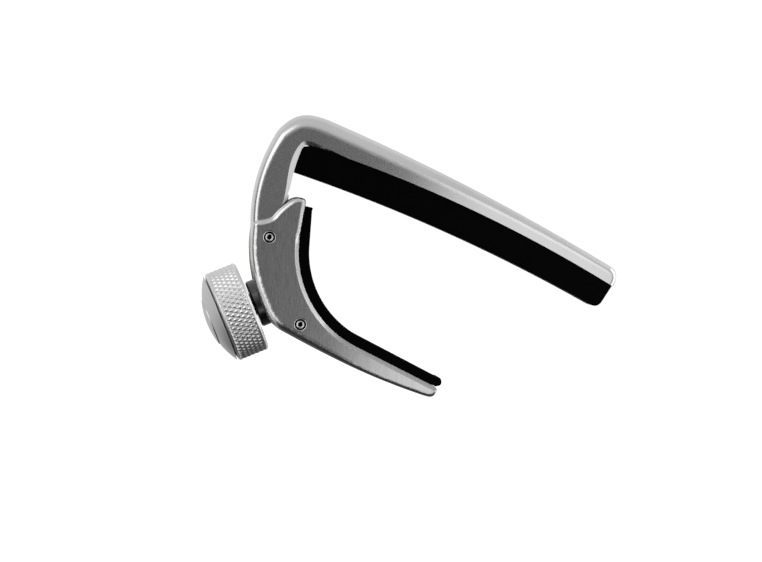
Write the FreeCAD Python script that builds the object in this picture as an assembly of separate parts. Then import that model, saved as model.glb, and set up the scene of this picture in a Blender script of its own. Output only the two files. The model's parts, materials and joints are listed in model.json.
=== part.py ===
import FreeCAD, Part
import math
import os

# A screw-adjusted guitar capo, in millimetres.
# Origin: the middle of the string pad's contact face. +X runs along the arm to its open end,
# +Y along the strings and the hinge pin, +Z out of the string pad, away from the strings.
# Shown fully open. The knob's face, the jaw and the thrust shoe are drawn where they stand then.

# ---------------------------------------------------------------- driving dimensions
FRAME_HALF_WIDTH = 4.8
CHEEK_INNER = 4.9
CHEEK_OUTER = 6.4
STRING_PAD_HALF_WIDTH = 4.5
PAD_RIB_HALF_WIDTH = 1.6
PAD_RIB_ENDS = (-26.0, 31.0)
PAD_RIB_MIDDLE = 1.5
PAD_RIB_TOPS = (6.9, 7.65, 6.5)
PAD_RIB_LOW = 3.0
JAW_PAD_HALF_WIDTH = 5.5
SEAT_CHAMFER = 0.8

PIVOT = (-30.9, -15.3)
STOP_PIN = (-18.2, -28.7)

# The jaw's hollow side: a straight horn, a round stretch and a straight finger.
SEAT_CENTRE = (-5.14, -7.34)
SEAT_RADIUS = 20.95
HORN_TOP = (-26.8, -6.7)
FINGER_END = (11.4, -29.2)
JAW_PAD_THICKNESS = 2.15
WEB_THICKNESS = 1.5

# The adjusting screw: the knob's front face is centred on KNOB_FACE, and distances along the
# screw are counted from there, towards the jaw.
KNOB_FACE = (-28.3, -29.2)
SCREW_ANGLE = 46.0
SCREW_RADIUS = 2.44
BUSH_BORE_RADIUS = 2.5
BUSH_RADIUS = 3.5
COLLAR_RADIUS = 4.8
COLLAR_BACK = 0.4
BOSS_BACK = 3.1
BOSS_FRONT = 6.9
SHOE_BACK = 7.0
SHOE_TIP = 8.75
SHOE_RADIUS = 2.8
SHOE_DOME_RADIUS = 4.0
PLATE_FACE = 8.8
PLATE_THICKNESS = 0.6
LAND_REACH = 3.6
STUB_RADIUS = 1.5
STUB_END = 7.9
GROOVE_RADIUS = 1.1
GROOVE_BACK = 7.2
GROOVE_FRONT = 7.6
CLIP_INNER_RADIUS = 1.15
CLIP_OUTER_RADIUS = 1.9
CLIP_BACK = 7.25
CLIP_FRONT = 7.55
CLIP_MOUTH_HALF_WIDTH = 0.5
PLATE_HALF_WIDTH = 4.2

KNOB_RADIUS = 9.3
KNOB_LENGTH = 6.8
KNOB_RECESS_RADIUS = 5.2
KNOB_RECESS_DEPTH = 3.4
KNOB_WEB_BACK = -5.4
SPIGOT_RADIUS = 2.0
WASHER_RADIUS = 3.2
WASHER_THICKNESS = 0.4
FIXING_HEAD_RADIUS = 2.1
FIXING_HEAD_HEIGHT = 1.3
FIXING_SHANK_RADIUS = 1.0
FIXING_SHANK_END = -1.0
FIXING_SLOT_HALF_WIDTH = 0.25
FIXING_SLOT_DEPTH = 0.6
CAP_SEAT_RADIUS = 7.0
DOME_SPHERE_RADIUS = 15.9
DOME_HEIGHT = 2.8
DISC_RADIUS = 4.9

BARREL_RADIUS = 1.35
BARREL_HALF_LENGTH = 6.15
PIN_HOLE_RADIUS = 1.38
PIN_HEAD_RADIUS = 1.0
PIN_HEAD_HEIGHT = 0.8
PIN_SHANK_RADIUS = 0.8
PIN_SHANK_LENGTH = 7.0
SOCKET_RADIUS = 0.75
SOCKET_DEPTH = 0.6
SLEEVE_RADIUS = 1.9
HINGE_BOSS_RADIUS = 3.9
FLANGE_RADIUS = 2.6
FLANGE_FACE = 4.85
FLANGE_SEAT = 4.4
PIVOT_BUSH_END = 1.6

SPRING_HEIGHT = -10.2
SPRING_BORE_BOTTOM = -34.4
SPRING_BORE_RADIUS = 1.6
SPRING_END = -27.3
SPRING_COIL_RADIUS = 1.2
SPRING_WIRE_RADIUS = 0.18
SPRING_TURNS = 7

ALONG_Y = FreeCAD.Vector(0, 1, 0)
SCREW_AXIS = FreeCAD.Vector(math.cos(math.radians(SCREW_ANGLE)), 0, math.sin(math.radians(SCREW_ANGLE)))


# ---------------------------------------------------------------- drawing helpers
def at(point, y=0.0):
    """The 3-D point of a side-view point (x, z)."""
    return FreeCAD.Vector(point[0], y, point[1])


def line(start, end):
    return Part.LineSegment(at(start), at(end)).toShape()


def arc(start, via, end):
    return Part.Arc(at(start), at(via), at(end)).toShape()


def curve(points, first_direction, last_direction):
    """A smooth curve through side-view points, leaving and arriving in given directions."""
    spline = Part.BSplineCurve()
    spline.interpolate(
        Points=[at(point) for point in points],
        InitialTangent=first_direction,
        FinalTangent=last_direction,
    )
    return spline.toShape()


def end_direction(edge):
    return edge.tangentAt(edge.LastParameter)


def start_direction(edge):
    return edge.tangentAt(edge.FirstParameter)


def slab(edges, y_low, y_high):
    """The solid between two planes across Y whose side view is a closed outline."""
    face = Part.Face(Part.Wire(Part.__sortEdges__(edges)))
    face.translate(FreeCAD.Vector(0, y_low, 0))
    return face.extrude(FreeCAD.Vector(0, y_high - y_low, 0))


def polygon(points):
    """Straight edges round a closed outline of side-view points."""
    return [line(points[i], points[(i + 1) % len(points)]) for i in range(len(points))]


def tangent_point(point, centre, radius, side):
    """Where the tangent from a point touches a circle; side is +1 or -1."""
    dx = point[0] - centre[0]
    dz = point[1] - centre[1]
    angle = math.atan2(dz, dx) + side * math.acos(radius / math.hypot(dx, dz))
    return (centre[0] + radius * math.cos(angle), centre[1] + radius * math.sin(angle))


def arc_round(centre, radius, start, end):
    """The shorter arc of a circle between two of its points."""
    middle_x = (start[0] + end[0]) / 2 - centre[0]
    middle_z = (start[1] + end[1]) / 2 - centre[1]
    scale = radius / math.hypot(middle_x, middle_z)
    return arc(start, (centre[0] + middle_x * scale, centre[1] + middle_z * scale), end)


def hollow_curve(radius, horn_point, finger_point):
    """Three edges that follow the jaw's hollow: straight, round about SEAT_CENTRE, straight."""
    horn_touch = tangent_point(horn_point, SEAT_CENTRE, radius, 1)
    finger_touch = tangent_point(finger_point, SEAT_CENTRE, radius, -1)
    return [
        line(horn_point, horn_touch),
        arc_round(SEAT_CENTRE, radius, horn_touch, finger_touch),
        line(finger_touch, finger_point),
    ]


def on_screw(along, across=0.0):
    """The side-view point a distance along the screw from the knob's face, and off its axis."""
    cosine = math.cos(math.radians(SCREW_ANGLE))
    sine = math.sin(math.radians(SCREW_ANGLE))
    return (
        KNOB_FACE[0] + along * cosine - across * sine,
        KNOB_FACE[1] + along * sine + across * cosine,
    )


def screw_cylinder(radius, start, end):
    """A cylinder on the screw's axis, between two distances along it."""
    return Part.makeCylinder(radius, end - start, at(on_screw(start)), SCREW_AXIS)


def screw_block(start, end, low, high, half_width):
    """A block squared to the screw: from start to end along it, from low to high across it."""
    corners = [(start, low), (start, high), (end, high), (end, low)]
    return slab(polygon([on_screw(along, across) for along, across in corners]), -half_width, half_width)


def screw_turned(profile):
    """A solid turned about the screw's axis; profile is (distance along, radius) pairs."""
    points = [at(on_screw(along, radius)) for along, radius in profile]
    face = Part.Face(Part.makePolygon(points + points[:1]))
    return face.revolve(at(on_screw(0)), SCREW_AXIS, 360)


def cross_cylinder(centre, radius, y_low, y_high):
    """A cylinder along Y."""
    return Part.makeCylinder(radius, y_high - y_low, at(centre, y_low), ALONG_Y)


def hexagon_socket(centre, radius, y_low, y_high):
    """A six-sided prism along Y."""
    corners = [
        (
            centre[0] + radius * math.cos(math.radians(60 * i)),
            centre[1] + radius * math.sin(math.radians(60 * i)),
        )
        for i in range(6)
    ]
    return slab(polygon(corners), y_low, y_high)


def middle_of(edge):
    return edge.valueAt((edge.FirstParameter + edge.LastParameter) / 2)


def round_outline(solid, half_width, rules):
    """Rounds a slab's outline on both of its side faces; rules are (edge, first and last radius)."""
    holder = FreeCAD.newDocument("rounding")
    base = holder.addObject("Part::Feature", "base")
    base.Shape = solid
    numbered = []
    for outline_edge, first_radius, last_radius in rules:
        start = outline_edge.valueAt(outline_edge.FirstParameter)
        for number, edge in enumerate(solid.Edges, 1):
            offset = middle_of(edge) - middle_of(outline_edge)
            if math.hypot(offset.x, offset.z) > 0.01 or abs(abs(offset.y) - half_width) > 0.01:
                continue
            near_start = edge.valueAt(edge.FirstParameter) - start
            flipped = math.hypot(near_start.x, near_start.z) > 0.01
            radii = (last_radius, first_radius) if flipped else (first_radius, last_radius)
            numbered.append((number, *radii))
    rounding = holder.addObject("Part::Fillet", "rounding")
    rounding.Base = base
    rounding.Edges = numbered
    holder.recompute()
    result = rounding.Shape.copy()
    FreeCAD.closeDocument(holder.Name)
    return result


# ---------------------------------------------------------------- frame and string pad
ARM_TIP_LOW = (36.35, 4.4)
ARM_TIP_TOP = (34.3, 7.1)
PAD_SEAT_LEFT = (-30.4, 4.75)
LEG_CORNER = (-32.0, 3.2)
PAD_SEAT_RIGHT = (35.95, 3.65)
PAD_TOE = (35.2, -0.6)
PAD_LOW_RIGHT = (34.2, -1.6)
PAD_LOW_LEFT = (-31.5, -1.45)
LEG_INNER_LOW = (-30.3, -7.3)
SEAM = (-35.0, -14.5)
LEG_BEVEL_WIDTHS = (-0.3, 0.15, 0.5, 0.75, 0.9, 1.0, 1.0, 1.0, 1.0)
LEG_BEVEL_DEPTH = 0.5
LEG_BEVEL_END = (-30.3, -9.6)


def pad_seat_edges():
    """Where metal and string pad meet: under the arm, then round the corner to the leg."""
    under_arm = arc(PAD_SEAT_RIGHT, (-1.9, 6.2), PAD_SEAT_LEFT)
    corner = curve(
        [PAD_SEAT_LEFT, (-31.6, 4.35), LEG_CORNER],
        end_direction(under_arm),
        FreeCAD.Vector(0.02, 0, -1),
    )
    return [under_arm, corner]


def frame_edges():
    """The frame's outer side view: up the arm's end, over the arm, round the bend, down the leg."""
    end = line((36.05, -4.0), ARM_TIP_LOW)
    top = arc(ARM_TIP_TOP, (3.4, 10.05), (-27.5, 10.9))
    tip = curve([ARM_TIP_LOW, (35.8, 6.25), ARM_TIP_TOP], end_direction(end), start_direction(top))
    outer_leg = arc((-38.0, 1.9), (-37.53, -6.5), SEAM)
    bend = curve(
        [(-27.5, 10.9), (-31.9, 10.6), (-35.2, 9.15), (-37.3, 6.0), (-38.0, 1.9)],
        end_direction(top),
        start_direction(outer_leg),
    )
    leg_back = line(on_screw(BOSS_BACK, 5.5), on_screw(BOSS_BACK, -10.0))
    hidden_back = curve([SEAM, on_screw(BOSS_BACK, 5.5)], end_direction(outer_leg), start_direction(leg_back))
    return end, tip, top, bend, outer_leg, hidden_back, leg_back


def inner_leg_edge():
    return arc(LEG_CORNER, (-31.65, -1.45), LEG_INNER_LOW)


def leg_bevel_line(share):
    """The leg's inner edge carried on under the arm, moved into the metal by a share of the bevel."""
    under_arm, corner = pad_seat_edges()
    inner_leg = inner_leg_edge()
    path = []
    for edge, places in ((under_arm, (0.84, 0.91, 0.96)), (corner, (0.0, 0.5)), (inner_leg, (0.0, 0.5, 1.0))):
        span = edge.LastParameter - edge.FirstParameter
        for place in places:
            parameter = edge.FirstParameter + place * span
            ahead = edge.tangentAt(parameter)
            path.append((edge.valueAt(parameter), FreeCAD.Vector(ahead.z, 0, -ahead.x)))
    path.append((at(LEG_BEVEL_END), path[-1][1]))
    moved = []
    for (place, inward), width in zip(path, LEG_BEVEL_WIDTHS, strict=True):
        spot = place + inward * width * share
        moved.append((spot.x, spot.z))
    return moved


def leg_bevel(side):
    """What a shallow bevel takes off one side of the leg's inner edge; it fades out under the arm."""
    spare = 0.5
    wires = []
    for share in (1 + spare, -spare):
        spots = leg_bevel_line(share)
        spline = Part.BSplineCurve()
        spline.interpolate([at(spot) for spot in spots])
        beside = (LEG_BEVEL_END[0] + 2.0, LEG_BEVEL_END[1])
        below_arm = (beside[0], 1.0)
        outline = [spline.toShape(), line(spots[-1], beside)]
        outline += [line(beside, below_arm), line(below_arm, spots[0])]
        wire = Part.Wire(Part.__sortEdges__(outline))
        depth = LEG_BEVEL_DEPTH * (1 - share)
        wire.translate(FreeCAD.Vector(0, side * (FRAME_HALF_WIDTH - depth), 0))
        wires.append(wire)
    return Part.makeLoft(wires, True, True)


def make_frame():
    end, tip, top, bend, outer_leg, hidden_back, leg_back = frame_edges()
    under_arm, corner = pad_seat_edges()
    inner_leg = inner_leg_edge()
    waist = (-30.15, -9.6)
    boss_side = on_screw(BOSS_FRONT, 4.6)
    hinge_high = tangent_point(waist, PIVOT, HINGE_BOSS_RADIUS, -1)
    hinge_low = tangent_point(boss_side, PIVOT, HINGE_BOSS_RADIUS, 1)
    edges = [end, tip, top, bend, outer_leg, hidden_back, leg_back]
    edges += [
        line(on_screw(BOSS_BACK, -10.0), on_screw(BOSS_FRONT, -10.0)),
        line(on_screw(BOSS_FRONT, -10.0), boss_side),
        line(boss_side, hinge_low),
        arc_round(PIVOT, HINGE_BOSS_RADIUS, hinge_low, hinge_high),
        line(hinge_high, waist),
        line(waist, LEG_INNER_LOW),
        inner_leg,
        line(LEG_CORNER, (-20.0, 3.2)),
        line((-20.0, 3.2), (-20.0, -4.0)),
        line((-20.0, -4.0), (36.05, -4.0)),
    ]
    frame = slab(edges, -FRAME_HALF_WIDTH, FRAME_HALF_WIDTH)
    frame = round_outline(
        frame,
        FRAME_HALF_WIDTH,
        [
            (end, 1.6, 1.6),
            (tip, 1.6, 1.6),
            (top, 1.6, 3.0),
            (bend, 3.0, 2.6),
            (outer_leg, 2.6, 1.3),
            (hidden_back, 1.3, 1.3),
            (leg_back, 1.3, 1.3),
        ],
    )
    below_arm = [under_arm, corner]
    below_arm += [
        line(LEG_CORNER, (-31.0, 1.0)),
        line((-31.0, 1.0), (-31.0, -6.0)),
        line((-31.0, -6.0), (38.0, -6.0)),
        line((38.0, -6.0), (38.0, PAD_SEAT_RIGHT[1])),
        line((38.0, PAD_SEAT_RIGHT[1]), PAD_SEAT_RIGHT),
    ]
    frame = frame.cut(slab(below_arm, -8, 8))
    frame = frame.cut(leg_bevel(-1)).cut(leg_bevel(1))
    toe = [on_screw(5.4, -5.3), on_screw(5.4, -6.4), on_screw(4.1, -6.4), on_screw(2.6, -4.4)]
    waste = [on_screw(1.0, -4.4), on_screw(1.0, -12.0), on_screw(9.0, -12.0), on_screw(9.0, -4.7)]
    frame = frame.cut(slab(polygon(toe + waste + [on_screw(BOSS_FRONT, -4.7)]), -8, 8))
    frame = frame.cut(slab(pad_rib_edges(), -PAD_RIB_HALF_WIDTH, PAD_RIB_HALF_WIDTH))
    frame = frame.cut(screw_cylinder(BUSH_RADIUS, BOSS_BACK - 2, BOSS_FRONT + 2))
    frame = frame.cut(cross_cylinder(PIVOT, SLEEVE_RADIUS, -6, 6))
    for side in (-1, 1):
        low, high = sorted((side * FLANGE_SEAT, side * 6))
        frame = frame.cut(cross_cylinder(PIVOT, FLANGE_RADIUS, low, high))
    bore_start = FreeCAD.Vector(SPRING_BORE_BOTTOM, 0, SPRING_HEIGHT)
    return frame.cut(Part.makeCylinder(SPRING_BORE_RADIUS, 10, bore_start, FreeCAD.Vector(1, 0, 0)))


def pad_rib_edges():
    """The rib along the string pad's back, which the arm's groove holds."""
    left, right = PAD_RIB_ENDS
    left_top, middle_top, right_top = PAD_RIB_TOPS
    roof = arc((right, right_top), (PAD_RIB_MIDDLE, middle_top), (left, left_top))
    return [
        roof,
        line((left, left_top), (left, PAD_RIB_LOW)),
        line((left, PAD_RIB_LOW), (right, PAD_RIB_LOW)),
        line((right, PAD_RIB_LOW), (right, right_top)),
    ]


def make_string_pad():
    under_arm, corner = pad_seat_edges()
    contact = arc(PAD_LOW_LEFT, (1.4, 0.0), PAD_LOW_RIGHT)
    toe = arc(PAD_LOW_RIGHT, (34.9, -1.25), PAD_TOE)
    edges = [under_arm, corner, line(LEG_CORNER, PAD_LOW_LEFT), contact, toe, line(PAD_TOE, PAD_SEAT_RIGHT)]
    pad = slab(edges, -STRING_PAD_HALF_WIDTH, STRING_PAD_HALF_WIDTH)
    rib = slab(pad_rib_edges(), -PAD_RIB_HALF_WIDTH, PAD_RIB_HALF_WIDTH)
    return pad.fuse(rib).removeSplitter()


# ---------------------------------------------------------------- jaw and jaw pad
OGEE_TOP = (-27.75, -5.5)
OGEE_MIDDLE = [(-29.6, -6.35), (-30.6, -7.9), (-31.7, -10.4)]
OGEE_LOW = (-34.35, -13.2)
BACK_TOP = (-34.95, -14.3)
BACK_LOW = (-25.3, -29.55)
HEEL_END = (-21.5, -31.35)
UNDERSIDE_MIDDLE = (-5.5, -32.3)
UNDERSIDE_END = (10.0, -31.72)


def jaw_edges():
    """The jaw's outer side view: over the horn, down the ogee, the back, the heel, to the finger's end."""
    back = arc(BACK_TOP, (-31.25, -22.8), BACK_LOW)
    under_left = arc(HEEL_END, (-13.5, -31.95), UNDERSIDE_MIDDLE)
    under_right = arc(UNDERSIDE_MIDDLE, (2.4, -32.22), UNDERSIDE_END)
    up = FreeCAD.Vector(-0.15, 0, 1)
    left = FreeCAD.Vector(-1, 0, 0.05)
    ogee_end = FreeCAD.Vector(-0.85, 0, -0.53)
    lip = curve([HORN_TOP, OGEE_TOP], up, left)
    ogee = curve([OGEE_TOP, *OGEE_MIDDLE, OGEE_LOW], left, ogee_end)
    shoulder = curve([OGEE_LOW, BACK_TOP], ogee_end, start_direction(back))
    heel = curve([BACK_LOW, (-23.6, -30.65), HEEL_END], end_direction(back), start_direction(under_left))
    nose = curve([UNDERSIDE_END, (12.15, -30.3), FINGER_END], end_direction(under_right), left)
    return lip, ogee, shoulder, back, heel, under_left, under_right, nose


def make_jaw():
    lip, ogee, shoulder, back, heel, under_left, under_right, nose = jaw_edges()
    seat = hollow_curve(SEAT_RADIUS, HORN_TOP, FINGER_END)
    outline = [lip, ogee, shoulder, back, heel, under_left, under_right, nose]
    jaw = slab(outline + seat, -CHEEK_OUTER, CHEEK_OUTER)
    jaw = round_outline(
        jaw,
        CHEEK_OUTER,
        [
            (lip, 0.9, 0.9),
            (ogee, 0.9, 0.9),
            (shoulder, 0.9, 0.9),
            (back, 0.9, 1.1),
            (heel, 1.1, 1.3),
            (under_left, 1.3, 1.8),
            (under_right, 1.8, 0.8),
            (nose, 0.8, 0.8),
        ],
    )
    jaw = jaw.cut(slab(channel_edges(), -CHEEK_INNER, CHEEK_INNER))
    land_face = PLATE_FACE + PLATE_THICKNESS
    jaw = jaw.cut(screw_block(land_face - 2, land_face, -LAND_REACH, LAND_REACH, CHEEK_INNER))
    jaw = jaw.fuse(screw_block(land_face, land_face + 1, -LAND_REACH, LAND_REACH, CHEEK_INNER))
    for side in (-1, 1):
        jaw = jaw.cut(seat_chamfer(side))
    for centre in (PIVOT, STOP_PIN):
        jaw = jaw.cut(cross_cylinder(centre, PIN_HOLE_RADIUS, -8, 8))
    return jaw.removeSplitter()


def beyond_seat(end, side, offset):
    """A point past one end of the jaw's hollow, moved away from the pad by an offset."""
    touch = tangent_point(end, SEAT_CENTRE, SEAT_RADIUS, side)
    run = math.hypot(end[0] - touch[0], end[1] - touch[1])
    return tuple(
        end[i] + (end[i] - touch[i]) / run * 3 + (touch[i] - SEAT_CENTRE[i]) / SEAT_RADIUS * offset
        for i in (0, 1)
    )


def seat_chamfer(side):
    """What a 45 degree bevel takes off one side of the jaw's hollow, along its whole length."""
    spare = 0.5
    wires = []
    for depth in (-spare, SEAT_CHAMFER + spare):
        offset = SEAT_CHAMFER - depth
        horn_end = beyond_seat(HORN_TOP, 1, offset)
        finger_end = beyond_seat(FINGER_END, -1, offset)
        far = (20.0, 5.0)
        outline = hollow_curve(SEAT_RADIUS + offset, horn_end, finger_end)
        outline += [line(finger_end, far), line(far, horn_end)]
        wire = Part.Wire(Part.__sortEdges__(outline))
        wire.translate(FreeCAD.Vector(0, side * (CHEEK_OUTER - depth), 0))
        wires.append(wire)
    return Part.makeLoft(wires, True, True)


def channel_edges():
    """The space between the cheeks, open to the back and the underside."""
    radius = SEAT_RADIUS + WEB_THICKNESS
    horn_point = (-28.35, -4.5)
    channel_end = -15.0
    touch = tangent_point(horn_point, SEAT_CENTRE, radius, 1)
    end_height = SEAT_CENTRE[1] - math.sqrt(radius**2 - (channel_end - SEAT_CENTRE[0]) ** 2)
    corner = (channel_end, end_height)
    return [
        line(horn_point, touch),
        arc_round(SEAT_CENTRE, radius, touch, corner),
        line(corner, (channel_end, -34.0)),
        line((channel_end, -34.0), (-42.0, -34.0)),
        line((-42.0, -34.0), (-42.0, horn_point[1])),
        line((-42.0, horn_point[1]), horn_point),
    ]


def make_jaw_pad():
    seat = hollow_curve(SEAT_RADIUS, HORN_TOP, FINGER_END)
    face_radius = SEAT_RADIUS - JAW_PAD_THICKNESS
    face = hollow_curve(face_radius, (-25.2, -6.4), (11.9, -26.9))
    ends = [line(HORN_TOP, (-25.2, -6.4)), line(FINGER_END, (12.6, -28.4))]
    ends.append(line((12.6, -28.4), (11.9, -26.9)))
    return slab(seat + face + ends, -JAW_PAD_HALF_WIDTH, JAW_PAD_HALF_WIDTH)


# ---------------------------------------------------------------- hinge and stop hardware
def make_barrel(centre):
    barrel = cross_cylinder(centre, BARREL_RADIUS, -BARREL_HALF_LENGTH, BARREL_HALF_LENGTH)
    head_floor = -BARREL_HALF_LENGTH + 0.1 + PIN_HEAD_HEIGHT
    barrel = barrel.cut(cross_cylinder(centre, PIN_HEAD_RADIUS + 0.03, -8, head_floor))
    barrel = barrel.cut(cross_cylinder(centre, PIN_SHANK_RADIUS, -8, head_floor + PIN_SHANK_LENGTH + 0.5))
    dimple = hexagon_socket(centre, SOCKET_RADIUS, BARREL_HALF_LENGTH - SOCKET_DEPTH, 8)
    return barrel.cut(dimple)


def make_pin_screw(centre):
    head_top = -BARREL_HALF_LENGTH + 0.1
    head_floor = head_top + PIN_HEAD_HEIGHT
    head = cross_cylinder(centre, PIN_HEAD_RADIUS, head_top, head_floor)
    shank = cross_cylinder(centre, PIN_SHANK_RADIUS, head_floor, head_floor + PIN_SHANK_LENGTH)
    return head.fuse(shank).cut(hexagon_socket(centre, SOCKET_RADIUS, -8, head_top + SOCKET_DEPTH))


def make_pivot_bush(side):
    flange_low, flange_high = sorted((side * FLANGE_SEAT, side * FLANGE_FACE))
    body_low, body_high = sorted((side * PIVOT_BUSH_END, side * FLANGE_SEAT))
    bush = cross_cylinder(PIVOT, FLANGE_RADIUS, flange_low, flange_high)
    bush = bush.fuse(cross_cylinder(PIVOT, SLEEVE_RADIUS, body_low, body_high))
    return bush.cut(cross_cylinder(PIVOT, PIN_HOLE_RADIUS, -8, 8)).removeSplitter()


def make_stop_sleeve():
    sleeve = cross_cylinder(STOP_PIN, SLEEVE_RADIUS, -CHEEK_INNER + 0.05, CHEEK_INNER - 0.05)
    return sleeve.cut(cross_cylinder(STOP_PIN, BARREL_RADIUS, -8, 8))


def make_return_spring():
    pitch = (SPRING_END - SPRING_BORE_BOTTOM - 2 * SPRING_WIRE_RADIUS) / SPRING_TURNS
    helix = Part.makeHelix(pitch, pitch * SPRING_TURNS, SPRING_COIL_RADIUS)
    section = Part.Wire(
        Part.makeCircle(SPRING_WIRE_RADIUS, FreeCAD.Vector(SPRING_COIL_RADIUS, 0, 0), ALONG_Y)
    )
    coil = Part.Wire(helix.Edges).makePipeShell([section], True, True)
    coil.rotate(FreeCAD.Vector(0, 0, 0), ALONG_Y, 90)
    coil.translate(FreeCAD.Vector(SPRING_BORE_BOTTOM + SPRING_WIRE_RADIUS, 0, SPRING_HEIGHT))
    return coil


# ---------------------------------------------------------------- screw, shoe and knob
def make_screw_bush():
    profile = [
        (COLLAR_BACK, BUSH_BORE_RADIUS),
        (COLLAR_BACK, COLLAR_RADIUS - 0.3),
        (COLLAR_BACK + 0.3, COLLAR_RADIUS),
        (BOSS_BACK, COLLAR_RADIUS),
        (BOSS_BACK, BUSH_RADIUS),
        (BOSS_FRONT, BUSH_RADIUS),
        (BOSS_FRONT, BUSH_BORE_RADIUS),
    ]
    return screw_turned(profile)


def make_adjusting_screw():
    profile = [
        (KNOB_WEB_BACK, 0),
        (KNOB_WEB_BACK, SPIGOT_RADIUS),
        (-KNOB_RECESS_DEPTH, SPIGOT_RADIUS),
        (-KNOB_RECESS_DEPTH, SCREW_RADIUS),
        (SHOE_BACK - 0.05, SCREW_RADIUS),
        (SHOE_BACK - 0.05, STUB_RADIUS),
        (GROOVE_BACK, STUB_RADIUS),
        (GROOVE_BACK, GROOVE_RADIUS),
        (GROOVE_FRONT, GROOVE_RADIUS),
        (GROOVE_FRONT, STUB_RADIUS),
        (STUB_END, STUB_RADIUS),
        (STUB_END, 0),
    ]
    screw = screw_turned(profile)
    return screw.cut(screw_cylinder(FIXING_SHANK_RADIUS, KNOB_WEB_BACK - 1, FIXING_SHANK_END + 1.5))


def make_thrust_shoe():
    dome_centre = SHOE_TIP - SHOE_DOME_RADIUS
    body = screw_cylinder(SHOE_RADIUS, SHOE_BACK, SHOE_TIP)
    dome = Part.makeSphere(SHOE_DOME_RADIUS, at(on_screw(dome_centre)))
    shoe = body.common(dome)
    shoe = shoe.cut(screw_cylinder(STUB_RADIUS + 0.05, SHOE_BACK - 1, STUB_END + 0.05))
    return shoe.cut(screw_cylinder(CLIP_OUTER_RADIUS, CLIP_BACK, CLIP_FRONT))


def make_shoe_clip():
    ring = screw_cylinder(CLIP_OUTER_RADIUS, CLIP_BACK, CLIP_FRONT)
    ring = ring.cut(screw_cylinder(CLIP_INNER_RADIUS, CLIP_BACK - 1, CLIP_FRONT + 1))
    mouth = screw_block(CLIP_BACK - 1, CLIP_FRONT + 1, 0.4, CLIP_OUTER_RADIUS + 1, CLIP_MOUTH_HALF_WIDTH)
    return ring.cut(mouth)


def make_wear_plate():
    reach = LAND_REACH - 0.2
    return screw_block(PLATE_FACE, PLATE_FACE + PLATE_THICKNESS, -reach, reach, PLATE_HALF_WIDTH)


def make_knob():
    back = -KNOB_LENGTH
    profile = [
        (-KNOB_RECESS_DEPTH, SPIGOT_RADIUS),
        (-KNOB_RECESS_DEPTH, KNOB_RECESS_RADIUS),
        (-0.25, KNOB_RECESS_RADIUS),
        (0, KNOB_RECESS_RADIUS + 0.25),
        (0, KNOB_RADIUS - 0.5),
        (-0.5, KNOB_RADIUS),
        (back + 0.3, KNOB_RADIUS),
        (back, KNOB_RADIUS - 0.3),
        (back, CAP_SEAT_RADIUS),
        (KNOB_WEB_BACK, CAP_SEAT_RADIUS),
        (KNOB_WEB_BACK, SPIGOT_RADIUS),
    ]
    return screw_turned(profile)


def make_knob_cap():
    back = -KNOB_LENGTH
    centre = back - DOME_HEIGHT + DOME_SPHERE_RADIUS
    sphere = Part.makeSphere(DOME_SPHERE_RADIUS, at(on_screw(centre)))
    dome = screw_cylinder(KNOB_RADIUS - 0.2, back - DOME_HEIGHT - 1, back).common(sphere)
    skirt = screw_cylinder(CAP_SEAT_RADIUS, back, KNOB_WEB_BACK)
    hollow = screw_cylinder(CAP_SEAT_RADIUS - 1.2, back - 1.0, KNOB_WEB_BACK + 1)
    disc_pocket = screw_cylinder(DISC_RADIUS, back - DOME_HEIGHT - 1, disc_floor())
    return dome.fuse(skirt).cut(hollow).cut(disc_pocket).removeSplitter()


def disc_floor():
    rim_drop = DOME_SPHERE_RADIUS - math.sqrt(DOME_SPHERE_RADIUS**2 - DISC_RADIUS**2)
    return -KNOB_LENGTH - DOME_HEIGHT + rim_drop + 0.2


def make_cap_disc():
    centre = -KNOB_LENGTH - DOME_HEIGHT + DOME_SPHERE_RADIUS
    sphere = Part.makeSphere(DOME_SPHERE_RADIUS, at(on_screw(centre)))
    disc = screw_cylinder(DISC_RADIUS - 0.12, -KNOB_LENGTH - DOME_HEIGHT - 1, disc_floor())
    return disc.common(sphere)


def make_knob_washer():
    washer = screw_cylinder(WASHER_RADIUS, KNOB_WEB_BACK - WASHER_THICKNESS, KNOB_WEB_BACK)
    return washer.cut(screw_cylinder(FIXING_SHANK_RADIUS + 0.05, -KNOB_LENGTH - 1, 0))


def make_knob_fixing_screw():
    head_front = KNOB_WEB_BACK - WASHER_THICKNESS
    head_back = head_front - FIXING_HEAD_HEIGHT
    head = screw_cylinder(FIXING_HEAD_RADIUS, head_back, head_front)
    shank = screw_cylinder(FIXING_SHANK_RADIUS, head_front, FIXING_SHANK_END)
    slot_reach = FIXING_HEAD_RADIUS + 1
    slot = screw_block(
        head_back - 1,
        head_back + FIXING_SLOT_DEPTH,
        -FIXING_SLOT_HALF_WIDTH,
        FIXING_SLOT_HALF_WIDTH,
        slot_reach,
    )
    return head.fuse(shank).cut(slot)


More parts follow.
